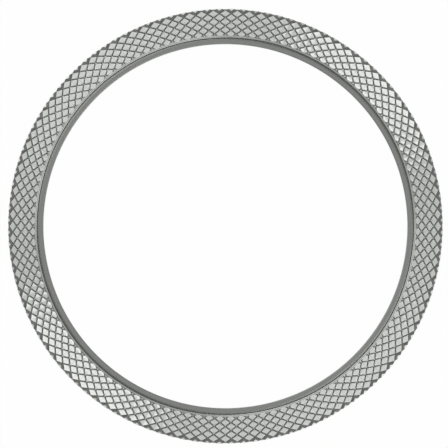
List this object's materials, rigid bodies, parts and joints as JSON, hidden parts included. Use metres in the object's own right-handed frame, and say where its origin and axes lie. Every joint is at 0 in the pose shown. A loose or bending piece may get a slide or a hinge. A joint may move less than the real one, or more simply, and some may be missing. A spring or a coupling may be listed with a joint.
{
  "type": "watch bezel",
  "caption": "Rotating watch bezel with a diamond-knurled sloping ring that clicks round on a plain fixed inner ring.",
  "frame": {"origin": "middle of the flat underside, where the fixed ring rests on the watch case", "axes": "+Z out of the watch through the dial opening, +X and +Y across the bezel through detent balls"},
  "size_m": [0.04, 0.04, 0.004],
  "materials": {
    "knurled_steel": "bright knurled steel, fine satin on the rim",
    "satin_steel": "fine turned satin",
    "click_steel": "machined",
    "spring_steel": "drawn wire",
    "ball_steel": "polished",
    "black_rubber": "matte"
  },
  "bodies": {
    "base": {"base_ring": "satin_steel", "friction_gasket": "black_rubber", "detent_spring_1": "spring_steel", "detent_spring_2": "spring_steel", "detent_spring_3": "spring_steel", "detent_spring_4": "spring_steel"},
    "bezel": {"knurled_ring": "knurled_steel", "click_ring": "click_steel", "retaining_wire": "spring_steel"},
    "ball_1": {"detent_ball_1": "ball_steel"},
    "ball_2": {"detent_ball_2": "ball_steel"},
    "ball_3": {"detent_ball_3": "ball_steel"},
    "ball_4": {"detent_ball_4": "ball_steel"}
  },
  "joints": [
    {"name": "bezel_turn", "type": "hinge", "parent": "base", "child": "bezel", "pos_m": [0, 0, 0.002], "axis": [0, 0, 1], "continuous": true},
    {"name": "ball_1_press", "type": "slide", "parent": "base", "child": "ball_1", "axis": [0, 0, -1], "range_m": [0, 0.00014], "stiffness_N_per_m": 2000, "springref_m": -0.0002, "deforming": ["detent_spring_1"]},
    {"name": "ball_2_press", "type": "slide", "parent": "base", "child": "ball_2", "axis": [0, 0, -1], "range_m": [0, 0.00014], "stiffness_N_per_m": 2000, "springref_m": -0.0002, "deforming": ["detent_spring_2"]},
    {"name": "ball_3_press", "type": "slide", "parent": "base", "child": "ball_3", "axis": [0, 0, -1], "range_m": [0, 0.00014], "stiffness_N_per_m": 2000, "springref_m": -0.0002, "deforming": ["detent_spring_3"]},
    {"name": "ball_4_press", "type": "slide", "parent": "base", "child": "ball_4", "axis": [0, 0, -1], "range_m": [0, 0.00014], "stiffness_N_per_m": 2000, "springref_m": -0.0002, "deforming": ["detent_spring_4"]}
  ]
}
